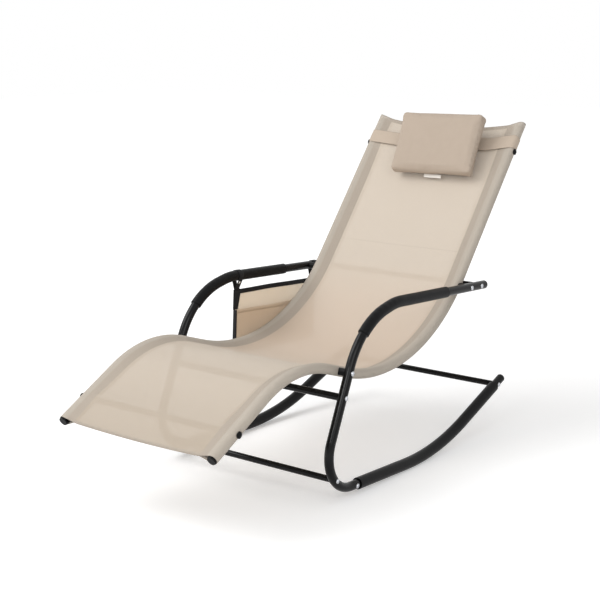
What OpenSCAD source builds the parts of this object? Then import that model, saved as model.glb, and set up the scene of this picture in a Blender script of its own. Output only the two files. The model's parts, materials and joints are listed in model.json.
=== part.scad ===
// Outdoor rocking lounger with a textile sling, a slide-on headrest and a side pocket.
// Y runs from the foot end (-) to the head end (+), X across the chair, Z up from the floor.
// The side profile is drawn as paths: [length] is a straight run, [radius, angle] is a bend.

/* [Tubes] */
// Outside diameter of the rails, arms, legs and rockers
tube_d = 25; // [22:1:30]
// Wall thickness of every steel tube
wall = 1.2; // [1:0.1:2]
// Distance between the centre lines of the two seat rails
rail_spacing = 499; // [440:1:520]
// Distance between the centre lines of the two arms
arm_spacing = 580; // [572:1:640]
// Length of a reduced tube end that plugs into the next tube
swage_len = 42; // [30:1:60]
// Play between a reduced tube end and the tube that it plugs into
swage_gap = 0.1; // [0.05:0.05:0.3]

/* [Seat rails] */
// Height of the rail's centre at the foot end
foot_height = 224; // [190:1:260]
// Rise of the lower-leg stretch, in degrees
foot_angle = 28.4; // [20:0.1:36]
// Length of the straight lower-leg stretch
foot_len = 211; // [180:1:260]
// Bend radius of the rail under the knees
knee_radius = 325; // [260:5:400]
// Fall of the thigh stretch towards the seat, in degrees
thigh_angle = 18; // [12:0.5:22]
// Length of the straight thigh stretch
thigh_len = 91; // [80:1:120]
// Bend radius of the rail under the hips
seat_radius = 516; // [440:2:600]
// Slope of the backrest, in degrees
back_angle = 51.1; // [45:0.1:58]
// Length of the straight backrest stretch of the rail
back_len = 528; // [500:1:620]
// Distance of the rail's plug joint up the straight backrest
rail_joint_up = 60; // [40:1:120]

/* [Arms] */
// Distance of the arm bolt along the seat bend, before the straight backrest
arm_bolt_back = 31; // [20:1:50]
// Length of the arm behind its bolt to the rail
arm_tail = 86; // [70:1:110]
// Fall of the arm towards the back, in degrees
arm_slope = 3.2; // [0:0.2:6]
// Radius of the arm's first, gentle bend
elbow_radius = 200; // [160:5:230]
// Angle of the arm's first bend
elbow_angle = 14.4; // [8:0.2:20]
// Straight length between the arm's two bends
elbow_gap = 22; // [10:1:40]
// Distance of the back crossbar from the arm's rear end
back_bar_in = 30; // [20:1:40]
// Length of straight arm that the foam grip covers, behind the first bend
grip_straight = 230; // [160:1:260]
// Angle of the front bend that the foam grip covers
grip_bend = 30; // [10:1:40]
// Outside diameter of the foam grip
grip_d = 31; // [29:0.5:36]

/* [Legs and rockers] */
// Distance of the leg bolt along the straight thigh stretch
leg_bolt_along = 42; // [30:1:50]
// Slope of the leg, in degrees from level
leg_lean = 66.2; // [60:0.2:72]
// Distance of the arm and leg seam above the leg bolt
leg_seam_up = 9; // [8:0.5:14]
// Straight end of the arm tube above the seam
arm_straight_end = 5; // [4:1:15]
// Distance of the middle crossbar below the leg bolt
leg_bar_down = 65; // [55:1:100]
// Radius of the toe bend at the bottom of the leg
toe_radius = 99; // [80:1:120]
// Straight length of the leg tube past its toe bend
toe_tail = 28; // [26:1:40]
// Angle of the toe bend above the front floor crossbar
toe_bar_angle = 62; // [40:1:80]
// Fall of the rocker's front stretch towards the back, in degrees
rocker_pitch = 2.3; // [1:0.1:4]
// Straight length at the front of the rocker tube
rocker_front = 232; // [180:1:280]
// Radius on which the rocker rolls
rocker_radius = 777; // [650:1:900]
// Slope of the rocker's rear stretch, in degrees
rocker_lift = 20.8; // [16:0.2:26]
// Straight length at the rear of the rocker
rocker_rear = 228; // [180:1:260]
// Distance of the rear crossbar from the rocker's rear end
rear_bar_in = 32; // [28:1:50]
// Outside diameter of the rocker sleeve
sleeve_d = 32; // [30:0.5:38]

/* [Crossbars and fasteners] */
// Diameter of the middle crossbar between the legs
leg_bar_d = 19; // [16:0.5:20]
// Diameter of the other crossbars
bar_d = 17; // [15:0.5:18]
// Distance of the foot crossbar from the rail's foot end
foot_bar_in = 90; // [60:1:130]
// Distance of the head crossbar from the rail's head end
head_bar_in = 90; // [82:1:128]
// Nominal diameter of the bolts
bolt_d = 6; // [5:0.5:8]
// Diameter of the domed bolt heads
head_d = 11; // [10:0.5:12]
// Height of the domed bolt heads
head_h = 3.3; // [2.5:0.1:4]
// Diameter of the washers
washer_d = 13; // [12.5:0.5:16]
// Thickness of the washers
washer_t = 1.2; // [0.8:0.1:2]
// Diameter of the plastic bolt caps
cap_d = 18; // [16:0.5:20]
// Height of the plastic bolt caps
cap_h = 5.5; // [4:0.5:7]
// Diameter of the saddle spacers between arm and rail
spacer_d = 20; // [16:0.5:22]

/* [Sling] */
// Thickness of the sling fabric
sling_t = 1; // [0.8:0.1:1.2]
// Play between the rail and the sewn sleeve
sleeve_play = 0.3; // [0.2:0.1:0.6]
// Distance of the sleeve's seam from the rail's centre
seam_in = 43; // [36:1:55]
// Distance from the rail's top end to the sling's top corner
sling_over = 13; // [11:1:20]
// Depth of the curve in the sling's top edge
top_scallop = 33; // [15:1:36]
// Depth of the curve in the sling's foot edge
foot_scallop = 10; // [5:1:20]
// Distance of the sling's foot edge from the rail's foot end
sling_foot_in = 1; // [0.5:0.5:5]

/* [Headrest] */
// Width of the pillow
pillow_w = 286; // [240:2:340]
// Height of the pillow along its front face
pillow_h = 186; // [160:2:210]
// Thickness of the pillow's lower edge
pillow_low_t = 27; // [20:1:35]
// Thickness of the pillow's upper edge
pillow_high_t = 40; // [30:1:50]
// Swell of the pillow's front over its edges
pillow_crown = 8; // [4:1:14]
// Swell of the pillow's back, as far as the band behind it lets it go
pillow_belly = 40; // [30:1:50]
// How far the pillow's sides pull in between the corners
pillow_pull = 4; // [2:0.5:8]
// Share of the pillow's size that its loose stuffing fills
stuffing = 0.88; // [0.7:0.01:0.9]
// Distance of the pillow's lower edge below the head crossbar
pillow_hang = 118; // [98:1:138]
// Offset of the pillow from the middle, towards the near side
pillow_side = 30; // [-30:1:40]
// Lean of the pillow's front off the backrest, in degrees
pillow_lean = 15; // [8:0.5:20]
// Height of the elastic band
band_h = 44; // [30:1:50]
// Thickness of the elastic band
band_t = 1.2; // [0.8:0.1:1.6]

/* [Side pocket] */
// Depth of the pocket's tall panel
pocket_deep = 190; // [150:1:210]
// Distance of the pocket's top edge below the arm's centre line
pocket_drop = 44; // [40:1:60]
// How far the low panel's top edge lies under the tall panel's
pocket_step = 58; // [40:1:80]
// Thickness of the pocket from panel to panel
pocket_t = 16; // [14:0.5:18]
// Thickness of the pocket's fabric
panel_t = 1.4; // [1:0.1:2]
// Width of the black binding tape
tape_w = 9; // [7:0.5:12]
// Width of the hanging straps
strap_w = 18; // [14:0.5:20]
// Thickness of the hanging straps
strap_t = 1.2; // [0.8:0.1:1.3]
// Distance of the rear strap's centre behind the arm bolt
strap_rear = 24; // [21:1:30]

/* [Hidden] */

$fn = 48;
fit = 0.1;
tube_r = tube_d / 2;
// How far a cut or a join runs past the face that it meets
past = 1;
bore_r = tube_r - wall;
swage_r = bore_r - swage_gap;
rail_x = rail_spacing / 2;
arm_x = arm_spacing / 2;
arm_face = arm_x + tube_r;
bolt_r = bolt_d / 2;
hole_play = 0.3;
hole_r = bolt_r + hole_play;
thread_r = bolt_r + fit;

// Poses on a path: [y, z, heading], heading in degrees from +Y, turning up
function go(p, step) =
    len(step) == 1
    ? [p[0] + step[0] * cos(p[2]), p[1] + step[0] * sin(p[2]), p[2]]
    : let (side = sign(step[1]), turned = p[2] + step[1])
      [p[0] + side * step[0] * (sin(turned) - sin(p[2])),
       p[1] - side * step[0] * (cos(turned) - cos(p[2])),
       turned];
function after(p, path, count) = count == 0 ? p : go(after(p, path, count - 1), path[count - 1]);
function end_of(p, path) = after(p, path, len(path));
function ahead(angle) = [cos(angle), sin(angle)];
function spot(p) = [p[0], p[1]];
function cross2(a, b) = a[0] * b[1] - a[1] * b[0];

// The rail, from its foot end, with the foot end at y = 0
knee_turn = -(foot_angle + thigh_angle);
seat_turn = thigh_angle + back_angle;
rail_path = [[foot_len], [knee_radius, knee_turn], [thigh_len], [seat_radius, seat_turn], [back_len]];
rail_zero = [0, foot_height, foot_angle];
back_zero = after(rail_zero, rail_path, 4);
arm_back_turn = arm_bolt_back * 180 / (PI * seat_radius);
arm_bolt_zero = after(rail_zero, concat([for (i = [0:2]) rail_path[i]],
                                        [[seat_radius, seat_turn - arm_back_turn]]), 4);
leg_bolt_zero = go(after(rail_zero, rail_path, 2), [leg_bolt_along]);

// The arm runs forward from its rail bolt and down to the leg bolt
arm_heading = 180 - arm_slope;
leg_heading = 180 + leg_lean;
elbow_heading = arm_heading + elbow_angle;
front_turn = leg_heading - elbow_heading;
arm_ray = ahead(arm_heading);
leg_ray = ahead(leg_heading);
// The straight arm and the front bend's radius follow from where the two bolts lie
elbow_shift = spot(end_of([0, 0, arm_heading], [[elbow_radius, elbow_angle], [elbow_gap]]));
front_unit = spot(go([0, 0, elbow_heading], [1, front_turn]));
to_cover = spot(leg_bolt_zero) - spot(arm_bolt_zero) - elbow_shift
    - (leg_seam_up + arm_straight_end) * leg_ray;
arm_run = neat(cross2(to_cover, front_unit) / cross2(arm_ray, front_unit));
front_radius = neat(cross2(arm_ray, to_cover) / cross2(arm_ray, front_unit));
arm_bends = [[elbow_radius, elbow_angle], [elbow_gap], [front_radius, front_turn]];

// The leg goes down until the rocker sleeve touches the floor at the start of its curve
sleeve_r = sleeve_d / 2;
toe_turn = 360 - rocker_pitch - leg_heading;
toe_shift = end_of([0, 0, leg_heading], [[toe_radius, toe_turn], [toe_tail + rocker_front]]);
curve_start_z = sleeve_r + rocker_radius * (1 - cos(rocker_pitch));
shin = neat((curve_start_z - leg_bolt_zero[1] - toe_shift[1]) / leg_ray[1]);
leg_zero = [leg_bolt_zero[0], leg_bolt_zero[1], leg_heading];
rocker_path = [[rocker_front], [rocker_radius, rocker_pitch + rocker_lift], [rocker_rear]];

// Everything is moved so that the whole chair is centred on the origin along Y
foot_cap_len = 5;
foot_cap_rim = sqrt(tube_r * tube_r - foot_cap_len * foot_cap_len);
ring_r = tube_r + sleeve_play + sling_t;
half_web = rail_x + ring_r;
lowest_y = -foot_cap_len * cos(foot_angle) - foot_cap_rim * sin(foot_angle);
sling_end = back_len + sling_over;
sling_tip = sling_end - top_scallop * (1 - pow(rail_x / half_web, 2));
highest_y = go(back_zero, [sling_tip])[0] + ring_r * sin(back_angle);
y_shift = -(lowest_y + highest_y) / 2;
function placed(p) = [p[0] + y_shift, p[1], p[2]];
rail_start = placed(rail_zero);
back_start = placed(back_zero);
// The two rail bolts, each with the heading of the rail and of the tube outside it
arm_bolt = placed(arm_bolt_zero);
arm_bolt_arm = [arm_bolt[0], arm_bolt[1], arm_heading];
leg_bolt_rail = placed(leg_bolt_zero);
leg_bolt = placed(leg_zero);
arm_start = go(arm_bolt_arm, [-arm_tail]);
arm_path = concat([[arm_tail + arm_run]], arm_bends, [[arm_straight_end]]);
leg_start = go(leg_bolt, [-leg_seam_up]);
leg_path = [[leg_seam_up + shin], [toe_radius, toe_turn], [toe_tail]];
rocker_start = end_of(leg_start, leg_path);
rocker_end = end_of(rocker_start, rocker_path);

// Where the crossbars and the bolts sit, each a pose on its tube
foot_bar = go(rail_start, [foot_bar_in]);
head_bar_up = back_len - head_bar_in;
head_bar = go(back_start, [head_bar_up]);
back_bar = go(arm_start, [back_bar_in]);
leg_bar = go(leg_bolt, [leg_bar_down]);
toe_bar = go(go(leg_bolt, [shin]), [toe_radius, toe_bar_angle]);
rear_bar = go(rocker_end, [-rear_bar_in]);
toe_bolt = go(rocker_start, [-toe_tail / 2]);
rail_joint = go(back_start, [rail_joint_up]);
// Room left at either end of the rocker sleeve
sleeve_gap = 2;
sleeve_rear_gap = 3;
sleeve_stop = rear_bar_in + bar_d / 2 + sleeve_rear_gap;

// Placing and sweeping. A pose is reached in a rounded move and turn, then by the small rest
// that the rounding left, so that the runs and bends of a path meet face to face.
function neat(v) = round(v * 1000) / 1000;
module move(y, z) translate([0, neat(y), neat(z)]) translate([0, y - neat(y), z - neat(z)]) children();
// A number to six significant digits, and a rotation's cosine and sine in such numbers
function rounded(v) =
    abs(v) < 1e-9 ? 0 : let (m = pow(10, 5 - floor(log(abs(v))))) round(v * m) / m;
function as_rounded(angle) = [rounded(cos(angle)), rounded(sin(angle))];
function rest_of(angle, first) = let (c = as_rounded(first)) angle - atan2(c[1], c[0]);
// The first turn is taken a hair off the angle, where the rounded turns keep lengths true
near_by = [for (k = [-120:120]) k / 10000];
function growth(angle, first) = norm(as_rounded(first)) * norm(as_rounded(rest_of(angle, first)));
function first_turn(angle) =
    let (off = [for (d = near_by) abs(growth(angle, angle + d) - 1)])
    angle + near_by[search(min(off), off)[0]];
module turn(angle) {
    first = first_turn(angle);
    rotate([first, 0, 0]) rotate([rest_of(angle, first), 0, 0]) children();
}
module at(p) move(p[0], p[1]) turn(p[2] - 360 * round(p[2] / 360)) children();
module both_sides(x) {
    translate([x, 0, 0]) children();
    mirror([1, 0, 0]) translate([x, 0, 0]) children();
}
module straight(length) translate([0, length, 0]) rotate([90, 0, 0]) linear_extrude(length) children();
module bend_up(radius, angle)
    translate([0, 0, radius]) rotate([0, 90, 0])
        rotate_extrude(angle = angle, $fn = 180) translate([radius, 0]) rotate(90) children();
module bend_down(radius, angle)
    translate([0, 0, -radius]) rotate([0, -90, 0])
        rotate_extrude(angle = angle, $fn = 180) translate([radius, 0]) rotate(-90) children();
module one_step(step) {
    if (len(step) == 1) straight(step[0]) children();
    else if (step[1] > 0) bend_up(step[0], step[1]) children();
    else bend_down(step[0], -step[1]) children();
}
module along(path, i = 0) {
    if (i < len(path)) {
        one_step(path[i]) children();
        at(go([0, 0, 0], path[i])) along(path, i + 1) children();
    }
}
module ring(outer, inner) difference() {
    circle(outer);
    circle(inner);
}
// A round rod along X, from x = a to x = b, at a pose
module rod(p, r, a, b) at(p) translate([a, 0, 0]) rotate([0, 90, 0]) cylinder(r = r, h = b - a);
// A bolt hole right through a tube that runs in the plane x = 0
module hole(p) rod(p, hole_r, -tube_d, tube_d);

// A reduced end: it runs on from a tube's end at pose p, over a neck inside that tube
module swage(p, length) {
    at(go(p, [-wall / 2])) straight(length + wall / 2) ring(swage_r, swage_r - wall);
    at(go(p, [-wall])) straight(wall) ring(tube_r - wall / 2, swage_r - wall / 2);
}
function turned_back(p) = [p[0], p[1], p[2] + 180];

// Rails, arms, legs and rockers
module lower_rail() difference() {
    at(rail_start) along([rail_path[0], rail_path[1], rail_path[2], rail_path[3], [rail_joint_up]])
        ring(tube_r, bore_r);
    hole(foot_bar);
    hole(leg_bolt);
    hole(arm_bolt);
}
module upper_rail() difference() {
    union() {
        at(rail_joint) straight(back_len - rail_joint_up) ring(tube_r, bore_r);
        swage(turned_back(rail_joint), swage_len);
    }
    hole(head_bar);
}
module arm_tube() difference() {
    union() {
        at(arm_start) along(arm_path) ring(tube_r, bore_r);
        swage(leg_start, swage_len);
    }
    hole(arm_bolt);
    hole(back_bar);
    hole(leg_bolt);
}
module leg_tube() difference() {
    at(leg_start) along(leg_path) ring(tube_r, bore_r);
    hole(leg_bolt);
    hole(leg_bar);
    hole(toe_bar);
    hole(toe_bolt);
}
// The rocker's reduced end stops just short of the toe bend
swage_short = 3;
toe_swage = toe_tail - swage_short;
module rocker_tube() difference() {
    union() {
        at(rocker_start) along(rocker_path) ring(tube_r, bore_r);
        swage(turned_back(rocker_start), toe_swage);
    }
    hole(toe_bolt);
    hole(rear_bar);
}
module lower_rail_left() color("#26262a") translate([-rail_x, 0, 0]) lower_rail();
module lower_rail_right() color("#26262a") translate([rail_x, 0, 0]) lower_rail();
module upper_rail_left() color("#26262a") translate([-rail_x, 0, 0]) upper_rail();
module upper_rail_right() color("#26262a") translate([rail_x, 0, 0]) upper_rail();
module arm_tube_left() color("#26262a") translate([-arm_x, 0, 0]) arm_tube();
module arm_tube_right() color("#26262a") translate([arm_x, 0, 0]) arm_tube();
module leg_tube_left() color("#26262a") translate([-arm_x, 0, 0]) leg_tube();
module leg_tube_right() color("#26262a") translate([arm_x, 0, 0]) leg_tube();
module rocker_tube_left() color("#26262a") translate([-arm_x, 0, 0]) rocker_tube();
module rocker_tube_right() color("#26262a") translate([arm_x, 0, 0]) rocker_tube();

// Foam grips and rocker sleeves, slipped over the tubes
cover_play = 0.1;
grip_start = go(arm_start, [arm_tail + arm_run - grip_straight]);
grip_path = [[grip_straight], arm_bends[0], arm_bends[1], [front_radius, grip_bend]];
module foam_grip() at(grip_start) along(grip_path) ring(grip_d / 2, tube_r + cover_play);
module foam_grip_left() color("#3a3a3c") translate([-arm_x, 0, 0]) foam_grip();
module foam_grip_right() color("#3a3a3c") translate([arm_x, 0, 0]) foam_grip();
sleeve_path = [[rocker_front - sleeve_gap], rocker_path[1], [rocker_rear - sleeve_stop]];
module rocker_sleeve()
    at(go(rocker_start, [sleeve_gap])) along(sleeve_path) ring(sleeve_r, tube_r + cover_play);
module rocker_sleeve_left() color("#1c1c1e") translate([-arm_x, 0, 0]) rocker_sleeve();
module rocker_sleeve_right() color("#1c1c1e") translate([arm_x, 0, 0]) rocker_sleeve();

// End plugs: a ribbed plug in the bore and a domed head, turned about the tube's axis
plug_len = 16;
plug_wall = 2;
rib_w = 1.2;
rib_out = 0.9;
plug_r = bore_r - fit - rib_out;
module plug(head_len, head_r) rotate([90, 0, 0]) rotate_extrude() difference() {
    union() {
        translate([0, -plug_len]) square([plug_r, plug_len]);
        for (rib = [1:3]) translate([0, -rib * plug_len / 4]) square([plug_r + rib_out, rib_w]);
        square([head_r, head_len / 2]);
        intersection() {
            circle(head_r);
            square([head_r, head_len]);
        }
    }
    translate([0, -plug_len]) square([plug_r - plug_wall, plug_len - plug_wall]);
}
rail_plug_head = 2;
arm_plug_head = 4;
rocker_cap_len = 6;
module foot_caps() color("#141414") both_sides(rail_x)
    at(rail_start) plug(foot_cap_len, tube_r);
module rail_top_plugs() color("#141414") both_sides(rail_x)
    at(go(back_start, [back_len])) rotate([180, 0, 0]) plug(rail_plug_head, tube_r - wall / 2);
module arm_end_plugs() color("#141414") both_sides(arm_x)
    at(arm_start) plug(arm_plug_head, tube_r);
module rocker_end_caps() color("#141414") both_sides(arm_x)
    at(rocker_end) rotate([180, 0, 0]) plug(rocker_cap_len, tube_r);

// Crossbars, coped to the tubes that they meet
module bar(p, d, x) difference() {
    rod(p, d / 2, -x, x);
    rod(p, d / 2 - wall, -x - past, x + past);
    both_sides(x) children();
}
module near_tube(p, r) at(go(p, [-tube_d])) straight(2 * tube_d) circle(r);
module foot_crossbar() color("#1e1e20") bar(foot_bar, bar_d, rail_x) near_tube(foot_bar, tube_r + fit);
module head_crossbar() color("#1e1e20") bar(head_bar, bar_d, rail_x) near_tube(head_bar, tube_r + fit);
module back_crossbar() color("#1e1e20") bar(back_bar, bar_d, arm_x) near_tube(back_bar, tube_r + fit);
module leg_crossbar() color("#1e1e20") bar(leg_bar, leg_bar_d, arm_x) near_tube(leg_bar, tube_r + fit);
module rear_rocker_crossbar() color("#1e1e20")
    bar(rear_bar, bar_d, arm_x) near_tube(rear_bar, tube_r + fit);
module front_floor_crossbar() color("#1e1e20") bar(toe_bar, bar_d, arm_x)
    at(go(leg_bolt, [shin])) bend_up(toe_radius, toe_turn) circle(tube_r + fit);

// Threaded plugs in the bars' ends, a little way back from the tubes
insert_len = 18;
insert_back = 1;
bolt_reach = 15;
module insert(p, d, x) both_sides(0) difference() {
    rod(p, d / 2 - wall - fit, x - tube_r - insert_back - insert_len, x - tube_r - insert_back);
    rod(p, thread_r, x - tube_r - 2 * insert_back - insert_len, x);
}
module crossbar_inserts() color("#8a8d90") {
    insert(foot_bar, bar_d, rail_x);
    insert(head_bar, bar_d, rail_x);
    insert(back_bar, bar_d, arm_x);
    insert(leg_bar, leg_bar_d, arm_x);
    insert(toe_bar, bar_d, arm_x);
    insert(rear_bar, bar_d, arm_x);
}

// Bolts: a domed head with a hexagon socket, over a washer, on the outer face of the tube
head_x = arm_face + washer_t;
socket_w = 4;
socket_floor = 1.2;
// A dome of diameter d and height h, cut from a ball that is the flatter the larger the flatness
module dome(d, h, flatness) rotate_extrude() intersection() {
    translate([0, h - d * flatness]) circle(d * flatness, $fn = 96);
    square([d / 2, h]);
}
module hexagon(across, h) cylinder(d = across / cos(30), h = h, $fn = 6);
module bolt(p, tip) {
    rod(p, bolt_r, tip, head_x);
    at(p) translate([head_x, 0, 0]) rotate([0, 90, 0]) difference() {
        dome(head_d, head_h, 0.62);
        translate([0, 0, socket_floor]) hexagon(socket_w, head_h);
    }
}
tip_short = 1;
rail_tip = rail_x - bore_r + tip_short;
bar_tip = arm_x - tube_r - bolt_reach;
nut_h = 5;
nut_w = 10;
toe_tip = arm_x - tube_r - nut_h;
bolt_list = [[arm_bolt, rail_tip], [leg_bolt, rail_tip], [back_bar, bar_tip], [leg_bar, bar_tip],
             [toe_bar, bar_tip], [rear_bar, bar_tip], [toe_bolt, toe_tip]];
module frame_bolts() color("#b9bcc0") both_sides(0) for (b = bolt_list) bolt(b[0], b[1]);
module frame_washers() color("#a7aaad") both_sides(0) for (b = bolt_list) difference() {
    rod(b[0], washer_d / 2, arm_face, head_x);
    rod(b[0], hole_r, arm_face - past, head_x + past);
}
module toe_nuts() color("#b9bcc0") both_sides(0) difference() {
    at(toe_bolt) translate([toe_tip, 0, 0]) rotate([0, 90, 0]) hexagon(nut_w, nut_h);
    rod(toe_bolt, thread_r, toe_tip - past, arm_x);
}
// Nuts that lie across the bore of the rail
rail_nut_r = 6;
rail_nut_half = sqrt(bore_r * bore_r - rail_nut_r * rail_nut_r) - fit;
module rail_nuts() color("#8a8d90") both_sides(0) for (p = [arm_bolt, leg_bolt]) difference() {
    rod(p, rail_nut_r, rail_x - rail_nut_half, rail_x + rail_nut_half);
    rod(p, thread_r, rail_x - tube_r, rail_x + tube_r);
}
// Spacers between the sleeved rail and the arm, hollowed to both
saddle_pairs = [[arm_bolt, arm_bolt_arm], [leg_bolt_rail, leg_bolt]];
module saddle_spacers() color("#141414") both_sides(0) for (pair = saddle_pairs) difference() {
    rod(pair[0], spacer_d / 2, rail_x, arm_x);
    rod(pair[0], hole_r, rail_x - past, arm_x + past);
    translate([rail_x, 0, 0]) near_tube(pair[0], ring_r + 2 * fit);
    translate([arm_x, 0, 0]) near_tube(pair[1], tube_r + fit);
}
// Bolts of the foot and head crossbars, under plastic caps on the outside of the sleeves
cap_x = rail_x + ring_r + fit;
module capped_bolts() color("#8a8d90") both_sides(0) for (p = [foot_bar, head_bar])
    rod(p, bolt_r, rail_x - tube_r - bolt_reach, cap_x + cap_h / 2);
module bolt_caps() color("#101010") both_sides(0) for (p = [foot_bar, head_bar]) difference() {
    at(p) translate([cap_x, 0, 0]) rotate([0, 90, 0]) dome(cap_d, cap_h, 0.77);
    rod(p, thread_r, cap_x - past, cap_x + cap_h / 2 + fit);
}

// The sling: one web over the rails with a sewn sleeve round each of them
skim = 0.15;
web_top = ring_r - skim;
web_low = web_top - sling_t;
seam_low = [seam_in, web_low];
wrap_angle = atan2(web_low, seam_in) - acos(ring_r / norm(seam_low));
under_slope = (web_low - ring_r * sin(wrap_angle)) / (seam_in - ring_r * cos(wrap_angle));
cavity_in = seam_in - sling_t * sqrt(1 + under_slope * under_slope) / under_slope;
cavity_r = ring_r - sling_t;
module sleeve_2d() difference() {
    union() {
        circle(ring_r);
        polygon([[0, 0], [0, web_top], [seam_in, web_top], seam_low, (ring_r - skim) * ahead(wrap_angle)]);
    }
    circle(cavity_r);
    polygon([[0, 0], [0, web_low], [cavity_in, web_low], (cavity_r - skim) * ahead(wrap_angle)]);
}
module sling_2d() {
    translate([rail_x, 0]) mirror([1, 0]) sleeve_2d();
    translate([-rail_x, 0]) sleeve_2d();
    translate([-rail_x + seam_in - past, web_low])
        square([2 * (rail_x - seam_in + past), sling_t]);
}
// Radius of a shallow curve from its depth over the sling's half width
function curve_radius(depth) = (half_web * half_web + depth * depth) / (2 * depth);
top_cut_r = curve_radius(top_scallop);
foot_cut_r = curve_radius(foot_scallop);
eyelet_play = 1;
notch_play = 1.5;
eyelet_r = bolt_r + eyelet_play;
notch_r = bar_d / 2 + notch_play;
// The cloth is swept a little too long and then cut to its curved edges
sling_spare = 2;
module sling() color("#d9cbb9") difference() {
    at(rail_start) translate([0, sling_foot_in - sling_spare, 0])
        along([[foot_len - sling_foot_in + sling_spare], rail_path[1], rail_path[2], rail_path[3],
               [sling_end + sling_spare]]) sling_2d();
    at(back_start) translate([0, sling_end - top_scallop + top_cut_r, -tube_d])
        cylinder(r = top_cut_r, h = 2 * tube_d, $fn = 180);
    at(rail_start) translate([0, sling_foot_in + foot_scallop - foot_cut_r, -tube_d])
        cylinder(r = foot_cut_r, h = 2 * tube_d, $fn = 180);
    for (p = [foot_bar, head_bar]) rod(p, notch_r, -rail_x, rail_x);
    for (p = [foot_bar, head_bar, arm_bolt, leg_bolt]) both_sides(0)
        rod(p, eyelet_r, rail_x, rail_x + tube_d);
}

// The headrest: an elastic band round the backrest with a stuffed pillow sewn to its front
band_play = 0.4;
band_r = ring_r + band_play;
band_up = head_bar_up + cap_d / 2 + band_play;
module band_2d(grow) {
    translate([-rail_x, -band_r - grow]) square([2 * rail_x, 2 * (band_r + grow)]);
    translate([rail_x, 0]) circle(band_r + grow);
    translate([-rail_x, 0]) circle(band_r + grow);
}
module headrest_band() color("#b5a898") at(go(back_start, [band_up])) straight(band_h) difference() {
    band_2d(band_t);
    band_2d(0);
}

// The pillow is built in rings of points, from the middle of its back face to its front.
// v runs from -1 at its lower edge to 1 at its upper edge; s lies along the backrest, n off it
pillow_rim = 52;
pillow_corner = 0.28;
pillow_seat_n = band_r + band_t;
pillow_up = head_bar_up - pillow_hang;
function soft_power(v) = sign(v) * pow(abs(v), pillow_corner);
function front_s(v) = pillow_up + (v + 1) / 2 * pillow_h * cos(pillow_lean);
function front_n(v) = pillow_seat_n + pillow_low_t + (v + 1) / 2 * pillow_h * sin(pillow_lean);
function lift(v) = front_n(v) - pillow_seat_n - pillow_high_t * cos(pillow_lean);
function back_n(v, share) = pillow_seat_n + max(0, lift(v) - pillow_belly * (1 - share * share));
function back_s(v) = front_s(v) + (v + 1) / 2 * pillow_high_t * sin(pillow_lean);
// Each level is its share of the half size, its way from back to front, and its share of the crown
pillow_levels = [[0.3, 0, 0], [0.56, 0, 0], [0.78, 0, 0], [0.94, 0.02, 0], [0.985, 0.14, 0], [1, 0.5, 0],
                 [0.985, 0.86, 0], [0.94, 0.98, 0.1], [0.84, 1, 0.36], [0.62, 1, 0.72],
                 [0.36, 1, 0.93], [0.12, 1, 1]];
function pillow_point(level, px, pv) =
    let (v = level[0] * pv * (1 + 2 * pillow_pull * px * px / pillow_h),
         x = level[0] * px * (pillow_w / 2 + pillow_pull * pv * pv),
         s = back_s(v) + level[1] * (front_s(v) - back_s(v)),
         back = back_n(v, level[0]),
         n = back + level[1] * (front_n(v) - back))
    [pillow_side + x,
     s - level[2] * pillow_crown * sin(pillow_lean),
     n + level[2] * pillow_crown * cos(pillow_lean)];
pillow_points = [for (level = pillow_levels, k = [0:pillow_rim - 1])
    let (a = 360 * (k + 0.5) / pillow_rim)
    pillow_point(level, soft_power(cos(a)), soft_power(sin(a)))];
pillow_last = (len(pillow_levels) - 1) * pillow_rim;
pillow_sides = [for (l = [0:len(pillow_levels) - 2], k = [0:pillow_rim - 1])
    let (a = l * pillow_rim + k, b = l * pillow_rim + (k + 1) % pillow_rim)
    each [[a, a + pillow_rim, b], [b, a + pillow_rim, b + pillow_rim]]];
pillow_back = [for (k = [1:pillow_rim - 2]) [0, k, k + 1]];
pillow_front = [for (k = [1:pillow_rim - 2]) [pillow_last, pillow_last + k + 1, pillow_last + k]];
pillow_skin = concat(pillow_sides, pillow_back, pillow_front);
pillow_middle = (pillow_points[0] + pillow_points[pillow_last + pillow_rim / 2]) / 2;
pillow_inside = [for (p = pillow_points) pillow_middle + stuffing * (p - pillow_middle)];
// The cover and its quilting are solid. The loose stuffing is left hollow, as it weighs little
module headrest_pillow() color("#c5b5a5") at(back_start) difference() {
    polyhedron(points = pillow_points, faces = pillow_skin);
    polyhedron(points = pillow_inside, faces = pillow_skin);
}

// The side pocket hangs from the left arm. In its own frame Y runs back along the arm's axis
// from the rail bolt, Z runs up, and the arm's axis is at x = 0, z = 0
strap_play = 0.3;
strap_off_end = 2;
front_strap_y = -(arm_run - strap_w / 2 - strap_off_end);
pocket_rear_y = strap_rear + strap_w / 2;
pocket_front_y = front_strap_y - strap_w / 2;
pocket_top = -pocket_drop;
pocket_bottom = pocket_top - pocket_deep;
low_top = pocket_top - pocket_step;
tall_x = -pocket_t / 2;
tall_face = tall_x + panel_t;
low_x = pocket_t / 2;
gusset_w = tape_w / 2;
corner_r = 24;
module pocket_place() translate([-arm_x, 0, 0]) at([arm_bolt[0], arm_bolt[1], -arm_slope]) children();
// A panel's outline in Y and Z, with round lower corners
corner_steps = 8;
function corner(y, z, r, from) =
    [for (k = [0:corner_steps]) [y, z] + r * ahead(from + k * 90 / corner_steps)];
module panel_2d(top, inset) {
    y0 = pocket_front_y + inset;
    y1 = pocket_rear_y - inset;
    z0 = pocket_bottom + inset;
    r = corner_r - inset;
    polygon(concat([[y0, top]], corner(y0 + r, z0 + r, r, 180),
        corner(y1 - r, z0 + r, r, 270), [[y1, top]]));
}
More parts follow.
